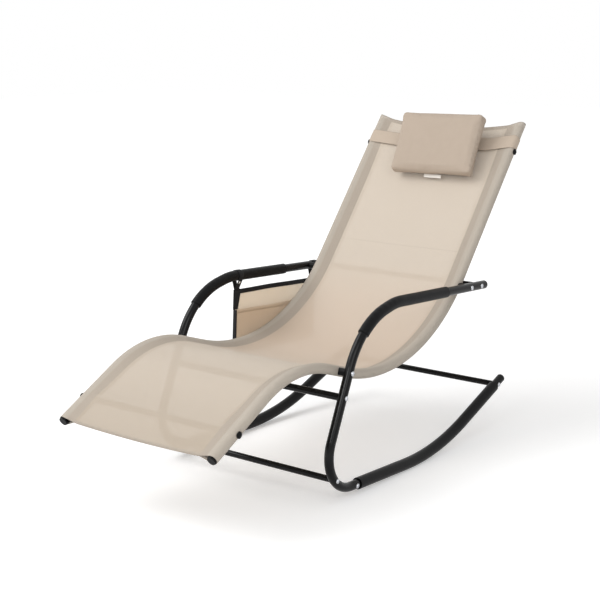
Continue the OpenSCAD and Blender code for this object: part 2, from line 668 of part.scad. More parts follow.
// An outline drawn in Y and Z, made solid from x = a to x = b
module in_x(a, b) translate([a, 0, 0]) rotate([90, 0, 90]) linear_extrude(b - a) children();
module pocket_tall_panel() color("#d8c6ae") pocket_place()
    in_x(tall_x, tall_face) panel_2d(pocket_top, gusset_w);
module pocket_low_panel() color("#b09a80") pocket_place()
    in_x(low_x - panel_t, low_x) panel_2d(low_top, gusset_w);
module pocket_edge_tape() color("#161616") pocket_place() in_x(tall_x, low_x) difference() {
    panel_2d(low_top, 0);
    panel_2d(low_top + past, gusset_w);
}
// Binding folded over the tall panel's top edge, between the straps
tape_t = 0.8;
module pocket_top_tape() color("#161616") pocket_place() difference() {
    translate([tall_x - tape_t, pocket_front_y + strap_w, pocket_top - tape_w])
        cube([panel_t + 2 * tape_t, pocket_rear_y - pocket_front_y - 2 * strap_w, tape_w + tape_t]);
    in_x(tall_x, tall_face) panel_2d(pocket_top, 0);
}
// A strap: a loop round the arm that closes to a point and runs down the panel's edge
foot_of_loop = [tall_face + strap_t, pocket_top + strap_play];
// Where a line from a point touches the loop's round, drawn in a little so that the two overlap
overlap = 0.99;
function touch(r, point, side) =
    overlap * r * ahead(atan2(point[1], point[0]) + side * acos(r / norm(point)));
module loop_2d(r, spread) {
    left = foot_of_loop - [spread, 0];
    right = foot_of_loop + [spread, 0];
    circle(r);
    polygon([[0, 0], touch(r, left, -1), left, right, touch(r, right, 1)]);
}
slit = 0.05;
module strap_2d(inner_r) {
    difference() {
        loop_2d(inner_r + strap_t, strap_t);
        loop_2d(inner_r, slit);
    }
    translate([tall_face, low_top]) square([strap_t, foot_of_loop[1] - low_top + strap_t / 2]);
}
// A strap outline in X and Z, as wide as the strap, about y
module strap_at(y, inner_r) translate([0, y - strap_w / 2, 0]) straight(strap_w) strap_2d(inner_r);
front_loop_r = grip_d / 2 + strap_play;
rear_loop_r = tube_r + strap_play;
module pocket_front_strap() color("#161616") pocket_place() strap_at(front_strap_y, front_loop_r);
module pocket_rear_strap() color("#161616") pocket_place() strap_at(strap_rear, rear_loop_r);
// Snap fasteners on the inner side of each loop
snap_r = 5;
snap_h = 2;
snap_bevel = 1.2;
snap_share = 0.35;
module snap(y, loop_r) {
    low = foot_of_loop + [strap_t, 0];
    high = touch(loop_r + strap_t, low, 1);
    middle = high + snap_share * (low - high);
    fall = atan2(low[1] - high[1], low[0] - high[0]);
    translate([middle[0], y, middle[1]]) rotate([0, -fall, 0])
        cylinder(r1 = snap_r, r2 = snap_r - snap_bevel, h = snap_h);
}
module pocket_snaps() color("#c9ccd0") pocket_place() {
    snap(front_strap_y, front_loop_r);
    snap(strap_rear, rear_loop_r);
}

lower_rail_left();
lower_rail_right();
upper_rail_left();
upper_rail_right();
foot_caps();
rail_top_plugs();
foot_crossbar();
head_crossbar();
back_crossbar();
leg_crossbar();
front_floor_crossbar();
rear_rocker_crossbar();
arm_tube_left();
arm_tube_right();
arm_end_plugs();
foam_grip_left();
foam_grip_right();
leg_tube_left();
leg_tube_right();
rocker_tube_left();
rocker_tube_right();
rocker_sleeve_left();
rocker_sleeve_right();
rocker_end_caps();
saddle_spacers();
frame_bolts();
frame_washers();
toe_nuts();
rail_nuts();
capped_bolts();
bolt_caps();
crossbar_inserts();
sling();
headrest_band();
headrest_pillow();
pocket_tall_panel();
pocket_low_panel();
pocket_top_tape();
pocket_edge_tape();
pocket_front_strap();
pocket_rear_strap();
pocket_snaps();
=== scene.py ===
"""Outdoor rocking lounger: black tube frame, sheer textile sling, slide-on headrest, side pocket."""
import json
import math

import bmesh
import bpy
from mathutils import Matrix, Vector, noise


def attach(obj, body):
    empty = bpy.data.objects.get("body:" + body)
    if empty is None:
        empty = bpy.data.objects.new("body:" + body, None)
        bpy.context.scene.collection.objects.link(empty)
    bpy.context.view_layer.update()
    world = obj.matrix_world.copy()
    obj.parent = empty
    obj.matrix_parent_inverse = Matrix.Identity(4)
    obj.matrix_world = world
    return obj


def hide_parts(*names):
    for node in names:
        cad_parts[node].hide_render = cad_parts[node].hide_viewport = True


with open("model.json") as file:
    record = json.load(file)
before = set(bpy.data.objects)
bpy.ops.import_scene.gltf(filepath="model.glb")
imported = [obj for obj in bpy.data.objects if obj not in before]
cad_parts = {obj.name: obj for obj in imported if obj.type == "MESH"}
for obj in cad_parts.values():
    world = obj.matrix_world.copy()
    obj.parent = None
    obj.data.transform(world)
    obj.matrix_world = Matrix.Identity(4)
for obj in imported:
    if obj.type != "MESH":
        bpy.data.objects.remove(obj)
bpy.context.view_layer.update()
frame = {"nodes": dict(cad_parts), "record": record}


# The room: a photographer's view from in front of the right foot corner. The camera's place, its
# turn and its lens are those that the photograph was taken with.
def set_up(name, data):
    """Puts a camera, a lamp or a mesh in the room under a name."""
    made = bpy.data.objects.new(name, data)
    bpy.context.scene.collection.objects.link(made)
    return made


view_point = Vector((2.1808, -2.8775, 1.2200))
view_turn = math.radians(37.75)
view_drop = math.radians(12.07)
sensor_width = 36.0
focal_share = 1318.65 / 600
view_reach = 60
camera = set_up("photo_camera", bpy.data.cameras.new("photo_camera"))
camera.data.sensor_width = sensor_width
camera.data.lens = sensor_width * focal_share
camera.data.clip_end = view_reach
camera.location = view_point
camera.rotation_euler = (math.pi / 2 - view_drop, 0, view_turn)
bpy.context.scene.camera = camera
bpy.context.scene.view_settings.view_transform = "Standard"


# The paper sweep: white card, which shows white to the camera and keeps the chair's soft shadow.
# It is wide enough to fill the view from every side, and its glow evens out the falling light.
class Strand:
    """A socket of a material. Sums and products of strands add the Math nodes they need."""

    def __init__(self, tree, socket=None):
        self.tree, self.socket = tree, socket

    def node(self, kind, settings=None, sockets=None, out=0):
        """Adds a node, with its settings first and then the values or links of its sockets."""
        made = self.tree.nodes.new(kind)
        for setting, value in (settings or {}).items():
            setattr(made, setting, value)
        for socket, value in (sockets or {}).items():
            if isinstance(value, Strand):
                self.tree.links.new(value.socket, made.inputs[socket])
            else:
                made.inputs[socket].default_value = value
        return Strand(self.tree, made.outputs[out])

    def maths(self, operation, *others):
        """A Math node that works on this strand and on others, strands or numbers."""
        operands = dict(enumerate((self, *others)))
        return self.node("ShaderNodeMath", {"operation": operation}, operands)

    def __add__(self, other):
        return self.maths("ADD", other)

    def __sub__(self, other):
        return self.maths("SUBTRACT", other)

    def __rsub__(self, other):
        return self.node("ShaderNodeMath", {"operation": "SUBTRACT"}, {0: other, 1: self})

    def __mul__(self, other):
        return self.maths("MULTIPLY", other)

    __radd__, __rmul__ = __add__, __mul__

    def clamped(self):
        """This strand, kept between 0 and 1."""
        return self.maths("MAXIMUM", 0.0).maths("MINIMUM", 1.0)

    def parts(self):
        """The x, y and z of this strand."""
        outputs = self.node("ShaderNodeSeparateXYZ", None, {0: self}).socket.node.outputs
        return [Strand(self.tree, out) for out in outputs]

    def blend(self, low, high):
        """A colour between two others: low where this strand is 0 and high where it is 1."""
        return self.node("ShaderNodeMix", {"data_type": "RGBA"},
                         {0: self, 6: low, 7: high}, out=2)


def dye(red, green, blue):
    """A colour as it is read off a print, from 0 to 255 a channel, in the light it stands for."""
    def light(v):
        v /= 255
        return v / 12.92 if v <= 0.04045 else ((v + 0.055) / 1.055) ** 2.4
    return light(red), light(green), light(blue), 1.0


def new_finish(name):
    """An empty material: the material, its first strand and its surface shader."""
    finish = bpy.data.materials.new(name)
    finish.use_nodes = True
    tree = finish.node_tree
    shader = next(n for n in tree.nodes if n.type == "BSDF_PRINCIPLED")
    return finish, Strand(tree), shader


def wire(shader, **sockets):
    """Sets a shader's sockets, named as in its panel with underscores for spaces."""
    for name, value in sockets.items():
        socket = shader.inputs[name.replace("_", " ")]
        if isinstance(value, Strand):
            value.tree.links.new(value.socket, socket)
        else:
            socket.default_value = value


def plainly_seen(strand):
    """1 where the camera looks, straight or by way of metal or glass, and 0 for all other light."""
    rays = (strand.node("ShaderNodeLightPath", out="Is Camera Ray")
            + strand.node("ShaderNodeLightPath", out="Is Glossy Ray")
            + strand.node("ShaderNodeLightPath", out="Is Transmission Ray"))
    return rays.maths("MINIMUM", 1.0)


paper_half, paper_drop = 14.0, 0.0005
near_glow, far_glow = 0.28, 0.50
glow_from, glow_over = 0.9, 2.6
paper_finish, strand, shader = new_finish("white_paper")
place = strand.node("ShaderNodeTexCoord", out="Object")
away = place.node("ShaderNodeVectorMath", {"operation": "LENGTH"}, {0: place}, out="Value")
away = ((away - glow_from) * (1 / glow_over)).clamped()
glow = plainly_seen(strand) * (away * (far_glow - near_glow) + near_glow)
wire(shader, Base_Color=dye(240, 240, 240), Roughness=0.9, Specular_IOR_Level=0.1,
     Emission_Color=glow, Emission_Strength=1.0)
paper_mesh = bpy.data.meshes.new("paper_sweep")
corners = [(-paper_half, -paper_half, -paper_drop), (paper_half, -paper_half, -paper_drop),
           (paper_half, paper_half, -paper_drop), (-paper_half, paper_half, -paper_drop)]
paper_mesh.from_pydata(corners, [], [(0, 1, 2, 3)])
paper_mesh.materials.append(paper_finish)
set_up("paper_sweep", paper_mesh)

# The lights: a wide soft box high on the left, a weaker one from the right, a strip in front that
# draws a bright line down the glossy tubes, and the room's own white light. The camera, metal and
# glass see the room as plain white.
ambient = 0.60
chair_middle = Vector((0, 0.05, 0.4))
room = bpy.data.worlds.new("white_room")
bpy.context.scene.world = room
room.use_nodes = True
background = next(n for n in room.node_tree.nodes if n.type == "BACKGROUND")
wire(background, Color=(1, 1, 1, 1),
     Strength=ambient + plainly_seen(Strand(room.node_tree)) * (1 - ambient))


def soft_box(name, place, size, power):
    """A lamp of a width and height at a place, turned to shine on the chair's middle."""
    lamp = bpy.data.lights.new(name, "AREA")
    lamp.shape = "RECTANGLE"
    lamp.size, lamp.size_y = size
    lamp.energy = power
    box = set_up(name, lamp)
    box.location = place
    box.rotation_euler = (chair_middle - Vector(place)).to_track_quat("-Z", "Y").to_euler()


soft_box("key_box", place=(-2.6, -2.4, 3.9), size=(3.2, 3.2), power=147)
soft_box("fill_box", place=(3.0, -2.0, 2.2), size=(2.0, 2.0), power=34)
soft_box("strip_box", place=(0.64, -3.3, 1.85), size=(1.7, 0.35), power=17)


# The frame: bent steel tubes with crossbars between them, all powder coated in black. The coat is
# half glossy, with the faint orange peel of a sprayed powder, and dust dulls it in patches.
def grain(strand, size, roughness=0.5):
    """Even noise in the piece's own space, with marks of a size in metres."""
    place = strand.node("ShaderNodeTexCoord", out="Object")
    return strand.node("ShaderNodeTexNoise", None, {"Vector": place, "Scale": 1 / size,
                       "Detail": 3.0, "Roughness": roughness})


def relief(height, depth):
    """A surface normal from a height between 0 and 1 that stands for a depth in metres."""
    return height.node("ShaderNodeBump", None, {"Height": height, "Distance": depth})


def dress(slot, finish):
    """Gives every rigid piece of one of the record's slots its finish."""
    for entry in frame["record"]["subparts"]:
        if entry["material_slot"] == slot:
            coats = frame["nodes"][entry["node"]].data.materials
            coats.clear()
            coats.append(finish)


powder_coat, strand, shader = new_finish("black_powder_coat")
peel, dust = grain(strand, 0.0022), grain(strand, 0.05)
wire(shader, Base_Color=dye(9, 9, 10), Roughness=dust * 0.08 + 0.14, Specular_IOR_Level=0.18,
     Normal=relief(peel, 0.00006))
dress("steel_black", powder_coat)

# The end caps, plugs, spacers and bolt caps: moulded black plastic, pushed in or clipped on. They
# are duller than the coated steel and carry a fine eroded grain from their mould.
moulded_black, strand, shader = new_finish("moulded_black_plastic")
erosion = grain(strand, 0.0009)
wire(shader, Base_Color=dye(9, 9, 10), Roughness=erosion * 0.10 + 0.42, Specular_IOR_Level=0.12,
     Normal=relief(erosion, 0.00006))
dress("plastic_black", moulded_black)

# The rocker sleeves: soft black plastic tube, warmed and slid over the rockers so that they run
# quietly. They are smooth and satin, with a fine ripple and scuffs from the floor.
satin_sleeve, strand, shader = new_finish("satin_black_sleeve")
ripple, scuffs = grain(strand, 0.012), grain(strand, 0.0015, 0.7)
wire(shader, Base_Color=dye(12, 12, 13), Roughness=scuffs * 0.14 + 0.30, Specular_IOR_Level=0.14,
     Normal=relief(ripple, 0.0002))
dress("rocker_sleeve", satin_sleeve)

# The bolts, washers, nuts and threaded inserts: zinc-plated steel, bright but not mirror-like. The
# snaps on the pocket's straps are the same steel, nickelled and polished.
zinc_plate, strand, shader = new_finish("zinc_plated_steel")
plating = grain(strand, 0.0012)
wire(shader, Base_Color=dye(196, 198, 202), Metallic=1.0, Roughness=plating * 0.12 + 0.24)
dress("bolt_steel", zinc_plate)
nickel, strand, shader = new_finish("polished_nickel")
wire(shader, Base_Color=dye(214, 213, 210), Metallic=1.0, Roughness=0.16)
dress("snap_metal", nickel)

# The arm grips: a length of black closed-cell foam tube on each arm, pushed on wet and left to
# grip. Its cut ends are rubbed round, and it creases a little on the inside of the front bend.
arm_x = 0.290
tube_radius = 0.0125
grip_radius, grip_play = 0.0155, 0.0001
grip_start = (0.232764, 0.469448, 176.8)
grip_route = [(0.230,), (0.200, 14.4), (0.022,), (0.220159, 30.0)]
grip_step, grip_facets = 0.002, 40
grip_end_round = 0.0024
grip_crease, grip_crease_pitch = 0.00035, 0.021
crease_from, crease_over = 0.24, 0.05
dent_depth, dents_along, dents_round, dents_apart = 0.0002, 30, 1.4, 3.0


def follow(start, route, spacing):
    """Marks along a route in side view, of straight runs (length,) and bends (radius, turn).

    A mark is (y, z, heading, length so far), with headings in radians."""
    y, z, heading = start[0], start[1], math.radians(start[2])
    marks = [(y, z, heading, 0.0)]
    for step in route:
        bent = len(step) == 2
        length = step[0] * abs(math.radians(step[1])) if bent else step[0]
        curve = math.copysign(1 / step[0], step[1]) if bent else 0.0
        count = max(1, round(length / spacing))
        for _ in range(count):
            stride = length / count
            middle = heading + curve * stride / 2
            chord = 2 / abs(curve) * math.sin(stride * abs(curve) / 2) if bent else stride
            y, z = y + chord * math.cos(middle), z + chord * math.sin(middle)
            heading += curve * stride
            marks.append((y, z, heading, marks[-1][3] + stride))
    return marks


def off_route(mark, x, height):
    """A point beside a mark: x across the chair and a height square to the route."""
    y, z, heading, _ = mark
    return Vector((x, y - height * math.sin(heading), z + height * math.cos(heading)))


def skin(name, rows, finish, round_about=False, thick=0.0, without=None, lay_along=None):
    """A mesh over rows of points, with its texture laid out in metres, and thickened if asked.

    Without picks the cells to leave open, and lay_along places each point along the texture."""
    wide = len(rows[0])
    span = wide if round_about else wide - 1
    cells = [(r, c) for r in range(len(rows) - 1) for c in range(span)
             if not (without and without(r, c))]
    faces = [(r * wide + c, r * wide + (c + 1) % wide, (r + 1) * wide + (c + 1) % wide,
              (r + 1) * wide + c) for r, c in cells]
    mesh = bpy.data.meshes.new(name)
    mesh.from_pydata([tuple(p) for row in rows for p in row], [], faces)
    middle_row, middle_column = rows[len(rows) // 2], [row[wide // 2] for row in rows]
    across, along = [0.0], [0.0]
    for c in range(span):
        across.append(across[-1] + (middle_row[(c + 1) % wide] - middle_row[c]).length)
    for before, after in zip(middle_column, middle_column[1:]):
        along.append(along[-1] + (after - before).length)
    lay = mesh.uv_layers.new(name="lay")
    for face, (r, c) in zip(mesh.polygons, cells):
        places = ((c, r), (c + 1, r), (c + 1, r + 1), (c, r + 1))
        for corner, (a, b) in zip(face.loop_indices, places):
            run = lay_along[b][a] if lay_along else along[b]
            lay.data[corner].uv = (across[a] - across[-1] / 2, run)
    mesh.polygons.foreach_set("use_smooth", [True] * len(mesh.polygons))
    mesh.materials.append(finish)
    piece = set_up(name, mesh)
    if thick:
        wall = piece.modifiers.new("cloth_thickness", "SOLIDIFY")
        wall.thickness, wall.offset = thick, 0.0
    return piece


foam, strand, shader = new_finish("black_foam")
pores, wear = grain(strand, 0.0011, 0.6), grain(strand, 0.03)
wire(shader, Base_Color=wear.blend(dye(7, 7, 8), dye(12, 12, 13)), Roughness=0.44,
     Specular_IOR_Level=0.13, Normal=relief(pores, 0.00025))
grip_marks = follow(grip_start, grip_route, grip_step)
grip_length = grip_marks[-1][3]
turns = [2 * math.pi * k / grip_facets for k in range(grip_facets)]
for side, hand in ((-1, "left"), (1, "right")):
    rows = []
    for mark in grip_marks:
        from_end = min(mark[3], grip_length - mark[3])
        rubbed = max(0.0, 1 - from_end / grip_end_round)
        reach = grip_radius - (1 - math.sqrt(1 - rubbed * rubbed)) * grip_end_round
        in_bend = max(0.0, min(1.0, (mark[3] - crease_from) / crease_over))
        pinch = 0.5 + 0.5 * math.sin(mark[3] * 2 * math.pi / grip_crease_pitch)
        ring = []
        for angle in turns:
            inner = max(0.0, -math.sin(angle)) * in_bend
            spot = Vector((mark[3] * dents_along, math.cos(angle) * dents_round, side * dents_apart))
            out = reach - inner * pinch * grip_crease + noise.noise(spot) * dent_depth
            ring.append(off_route(mark, side * arm_x + out * math.cos(angle), out * math.sin(angle)))
        rows.append(ring)
    bore = tube_radius + grip_play
    rims = [[off_route(mark, side * arm_x + bore * math.cos(angle), bore * math.sin(angle))
             for angle in turns] for mark in (grip_marks[0], grip_marks[-1])]
    grip = skin("foam_arm_grip_" + hand, [rims[0], *rows, rims[1]], foam, round_about=True)
    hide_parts("foam_grip_" + hand)
    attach(grip, "chair")

# The sling: one length of open-weave coated mesh, warm beige. Its long edges are turned under and
# sewn into sleeves that the rails are threaded through, and its short edges are hemmed. It is
# pulled tight over the crossbars at the foot and the head, and sags a little between them.
rail_x = 0.2495
back_length, foot_bar_in, head_bar_up = 0.541, 0.090, 0.438
rail_start = (-0.713346, 0.224, 28.4)
rail_route = [(0.211,), (0.325, -46.4), (0.091,), (0.516, 69.1), (back_length,)]
sleeve_reach = 0.0133
seam_in, seam_allowance, seam_rows = 0.038, 0.010, (0.001, 0.007)
layer_gap = 0.0006
sling_half, web_half = rail_x + sleeve_reach, rail_x - seam_in
foot_edge, foot_scallop, head_scallop = 0.001, -0.006, 0.033
end_zone = 0.080
cloth_thickness = 0.0009
seat_sag, back_sag, sag_from_bar = 0.0040, 0.0016, 0.12
seat_middle, seat_spread = 0.85, 0.35
leg_shade_reach = 0.50
foot_hem_depth, head_hem_depth = 0.008, 0.013
hem_from_seam, hem_lip, hem_round, hem_under = 0.012, 0.0002, 0.0006, 0.0011
hem_row_in, unsewn_marks = 0.003, 3
bar_top, bar_flat, bar_spread = 0.0096, 0.006, 0.100
notch_reach = 0.0115
yarn_pitch, yarn_relief = 0.0021, 0.00022
slubs_per_metre, hole_share, slub_share = 90.0, 0.6, 0.4
rail_sheen_in, rail_sheen_over = 0.016, 0.006
fold_mark, fold_half, crease_shade_tint = 0.080, 0.002, 0.5
seat_shade_tint = 0.6
stitch_pitch, stitch_length = 0.0040, 0.0029
thread_radius, thread_flat, thread_lift = 0.00035, 1.5, 0.0006
sling_step = 0.006
flank_steps, round_steps, web_steps, hem_steps, hem_stitches = 8, 24, 24, 60, 100
sling_marks = follow(rail_start, rail_route, sling_step)
sling_length = sling_marks[-1][3]
back_from = sling_length - back_length
crossbar_stations = (foot_bar_in, back_from + head_bar_up)


def ripples(way, pitch):
    """A wave along a strand, between -1 and 1, that comes once in each pitch."""
    return (way * (2 * math.pi / pitch)).maths("SINE")


def weave(strand, warp, weft, bare, pitch):
    """Colour, cover and relief of a mesh cloth, whose yarns bulge between its holes.

    Bare is the share of a hole that is open."""
    lay = strand.node("ShaderNodeUVMap")
    across, along, _ = lay.parts()
    ribs, picks = ripples(across, pitch), ripples(along, pitch)
    hole = ribs * picks * 0.5 + 0.5
    slub = strand.node("ShaderNodeTexNoise", None,
                       {"Vector": lay, "Scale": slubs_per_metre, "Detail": 3.0})
    colour = (hole * hole_share + slub * slub_share).blend(warp, weft)
    return colour, 1 - hole * bare, relief(ribs * 0.5 + picks * 0.5, yarn_relief)


def spaced(ends, count):
    """Evenly spaced values or points from one to another, both included."""
    start, end = ends
    return [start + (end - start) * k / count for k in range(count + 1)]


def along_route(mark):
    """The direction of the route at a mark."""
    return Vector((0, math.cos(mark[2]), math.sin(mark[2])))


def square_to_route(mark):
    """The direction up from the route at a mark, square to it."""
    return Vector((0, -math.sin(mark[2]), math.cos(mark[2])))


def from_crossbar(station):
    """How far a place along the rails is from the nearer crossbar."""
    return min(abs(station - bar) for bar in crossbar_stations)


def seam_height(station):
    """How high the seams run: level with the rails, but up and over each crossbar."""
    return bar_top * math.exp(-max(0.0, from_crossbar(station) - bar_flat) / bar_spread)


def sling_outline(height):
    """The cloth's cross-section between its hidden edges: (x, height, part), for a seam's height."""
    seam = Vector((-seam_in, height))
    lean = math.atan2(seam.y, seam.x) % (2 * math.pi)
    spread = math.acos(sleeve_reach / seam.length)
    below, above = lean + spread, lean - spread + 2 * math.pi

    def flank(start_height, angle):
        touch = Vector((math.cos(angle), math.sin(angle))) * sleeve_reach
        return spaced((Vector((-seam_in, start_height)), touch), flank_steps)

    half = [(-seam_in - seam_allowance * share, height - 2 * layer_gap, "under")
            for share in (1.0, 0.5)]
    half += [(p.x, p.y, "under") for p in flank(height - layer_gap, below)[:-1]]
    half += [(sleeve_reach * math.cos(a), sleeve_reach * math.sin(a), "round")
             for a in spaced((below, above), round_steps)]
    half += [(p.x, p.y, "over") for p in flank(height + layer_gap, above)[-2::-1]]
    half += [(-x, height, "web") for x in spaced((seam_in, rail_x), web_steps)[1:]]
    right = [(rail_x + x, z, part) for x, z, part in half]
    return right + [(-x, z, part) for x, z, part in reversed(right[:-1])]


def cloth_station(mark, x):
    """Where along the rails a row of the sling lies at x, as its short edges are curved."""
    share = 1 - min(1.0, abs(x) / sling_half) ** 2
    station = mark[3]
    if station < end_zone:
        return station + (foot_edge + foot_scallop * share) * (1 - station / end_zone)
    if station > sling_length - end_zone:
        return station - head_scallop * share * (station - sling_length + end_zone) / end_zone
    return station


def cloth_height(station, x):
    """How high the web lies over the rails' centre line: it sags most in the seat."""
    clear = min(1.0, from_crossbar(station) / sag_from_bar)
    seat = math.exp(-((station - seat_middle) / seat_spread) ** 2)
    sag = (back_sag + (seat_sag - back_sag) * seat) * clear
    return seam_height(station) - sag * max(0.0, 1 - (x / web_half) ** 2)


def on_cloth(mark, x, above=0.0, along=0.0):
    """A point on the sling's web in a mark's row, with its distances above and along."""
    station = cloth_station(mark, x) + along
    place = off_route(mark, x, cloth_height(station, x) + above)
    return place + along_route(mark) * (station - mark[3])


# its cloth: see-through, browner and darker in the seat as painted shade, darker over the leg rest
# as painted shade, with a faint painted crease shade along one fold across the back, greyer as
# painted shade where a sleeve or a hem lies double, and a little paler over the rails as a painted
# highlight
sling_cloth, strand, shader = new_finish("beige_mesh_cloth")
colour, cover, yarns = weave(strand, dye(214, 201, 185), dye(204, 191, 175), 0.38, yarn_pitch)
_, from_start, _ = strand.node("ShaderNodeUVMap").parts()
from_middle = strand.node("ShaderNodeTexCoord", out="Object").parts()[0].maths("ABSOLUTE")
bow = from_middle * from_middle * (1 / sling_half ** 2)
to_foot = from_start + bow * foot_scallop - (foot_edge + foot_scallop)
to_head = bow * head_scallop + (sling_length - head_scallop) - from_start
hems = to_foot.maths("LESS_THAN", foot_hem_depth).maths(
    "MAXIMUM", to_head.maths("LESS_THAN", head_hem_depth))
double = from_middle.maths("GREATER_THAN", web_half).maths("MAXIMUM", hems)
# painted highlight: the sleeve cloth over the rail tubes is coloured paler
rail_sheen = ((from_middle - (rail_x - rail_sheen_in)) * (1 / rail_sheen_over)).clamped()
# painted shade: the cloth in the seat hollow is coloured browner and darker
seat_shade = (from_start - seat_middle) * (1 / seat_spread)
seat_shade = 1 - (seat_shade * seat_shade).maths("MINIMUM", 1.0)
colour = (seat_shade * seat_shade_tint).blend(colour, dye(211, 188, 166))
# painted shade: the cloth over the leg rest is coloured darker, fading out towards the seat
leg_shade = 1 - (from_start * (1 / leg_shade_reach)).maths("MINIMUM", 1.0)
colour = leg_shade.blend(colour, dye(186, 172, 155))
# painted shade of a fold crease: a faint darker line across the back
fold = ((from_start - (back_from + fold_mark)) * (1 / fold_half)).maths("ABSOLUTE")
fold = 1 - fold.maths("MINIMUM", 1.0)
colour = (fold * crease_shade_tint).blend(colour, dye(188, 174, 158))
# painted shade: cloth lying double in the sleeves and hems is coloured greyer
colour = double.blend(colour, dye(182, 170, 156))
wire(shader, Base_Color=rail_sheen.blend(colour, dye(191, 181, 168)), Roughness=0.64,
     Specular_IOR_Level=0.40, Alpha=cover, Normal=yarns)

rows, lay_along = [], []
for mark in sling_marks:
    outline = sling_outline(seam_height(cloth_station(mark, rail_x)))
    stations = [cloth_station(mark, x) for x, _, _ in outline]
    rows.append([on_cloth(mark, x) if part == "web"
                 else off_route(mark, x, height) + along_route(mark) * (station - mark[3])
                 for station, (x, height, part) in zip(stations, outline)])
    lay_along.append(stations)


def notched(r, c):
    """Whether a crossbar passes here through the cloth's under layer."""
    middle = (sling_marks[r][3] + sling_marks[r + 1][3]) / 2
    return from_crossbar(middle) < notch_reach and "under" in (outline[c][2], outline[c + 1][2])


sling = skin("sling_cloth", rows, sling_cloth, thick=cloth_thickness, without=notched,
             lay_along=lay_along)


def stitches(name, spots, finish):
    """Short stitches, each given by its middle, its direction along the row and its way up."""
    points, faces = [], []
    for middle, way, up in spots:
        side = way.cross(up) * thread_radius * thread_flat
        rise = up * thread_radius
        first = len(points)
        points += [middle - way * stitch_length / 2, middle + side, middle + rise, middle - side,
                   middle - rise, middle + way * stitch_length / 2]
        faces += [(first, first + a, first + b) for a, b in ((2, 1), (3, 2), (4, 3), (1, 4))]
        faces += [(first + 5, first + a, first + b) for a, b in ((1, 2), (2, 3), (3, 4), (4, 1))]
    mesh = bpy.data.meshes.new(name)
    mesh.from_pydata([tuple(p) for p in points], [], faces)
    mesh.materials.append(finish)
    return set_up(name, mesh)


# its threads and hems: both seams are double stitched, and each hem is turned under once
beige_thread, strand, shader = new_finish("beige_thread")
wire(shader, Base_Color=dye(188, 175, 158), Roughness=0.7)
sewn_marks = follow(rail_start, rail_route, stitch_pitch)[unsewn_marks:-unsewn_marks]
seam_spots = [(on_cloth(mark, side * (web_half - inset), thread_lift),
               along_route(mark), square_to_route(mark))
              for side in (-1, 1) for inset in seam_rows for mark in sewn_marks]
seam_thread = stitches("sleeve_seam_stitches", seam_spots, beige_thread)
hem_pieces = []
web_x = spaced((-web_half + hem_from_seam, web_half - hem_from_seam), hem_steps)
for name, mark, inward, hem_depth in (("foot_hem", sling_marks[0], 1, foot_hem_depth),
                                      ("head_hem", sling_marks[-1], -1, head_hem_depth)):
    turned_under = ((0.0, -hem_lip), (-hem_round, -hem_round), (0.0, -hem_under),
                    (hem_depth / 2, -hem_under), (hem_depth, -hem_under))
    rows = [[on_cloth(mark, x, above, inward * along) for x in web_x]
            for along, above in turned_under]
    hem_lay = [[cloth_station(mark, x) + inward * along for x in web_x] for along, _ in turned_under]
    hem_pieces.append(skin(name, rows, sling_cloth, thick=cloth_thickness, lay_along=hem_lay))
    spots = [(on_cloth(mark, x, thread_lift, inward * (hem_depth - hem_row_in)), Vector((1, 0, 0)),
              square_to_route(mark)) for x in spaced((-web_half, web_half), hem_stitches)]
    hem_pieces.append(stitches(name + "_stitches", spots, beige_thread))
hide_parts("sling")
for piece in (sling, seam_thread, *hem_pieces):
    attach(piece, "chair")
sling_length - foot_edge

# The headrest's band: a loop of ribbed elastic, taupe, pulled over the head end of the backrest.
# It grips the rails in their sleeves, a touch higher on the right, runs straight across both
# faces, and the pillow's weight draws its front run down a little.
band_reach = 0.0148
band_low, band_high = 0.4380, 0.4830
band_cap_clear = 0.4478
band_thickness = 0.0012
band_droop, band_slack, band_curl = 0.0145, 0.0007, 0.0004
slack_waves, slack_lag, curl_rate = 9, 0.35, 6
headrest_tilt = math.radians(1.2)
rib_pitch = 0.0026
run_steps, turn_steps, band_rows = 56, 14, 14
pillow_x, pillow_half_width = 0.030, 0.143
back_start, back_heading = (0.374841, 0.48616), math.radians(51.1)


def on_back(x, up, off):
    """A point by the straight backrest: across, up along it, and off its rails' centre line."""
    return Vector((x, back_start[0] + up * math.cos(back_heading) - off * math.sin(back_heading),
                   back_start[1] + up * math.sin(back_heading) + off * math.cos(back_heading)))


ribbed_elastic, strand, shader = new_finish("taupe_elastic")
rib = ripples(strand.node("ShaderNodeUVMap").parts()[1], rib_pitch) * 0.5 + 0.5
fuzz = grain(strand, 0.0014, 0.7)
wire(shader, Base_Color=(rib * 0.5 + fuzz * 0.5).blend(dye(176, 161, 145), dye(194, 179, 163)),
     Roughness=0.85, Specular_IOR_Level=0.2, Normal=relief(rib * 0.8 + fuzz * 0.2, 0.0003))
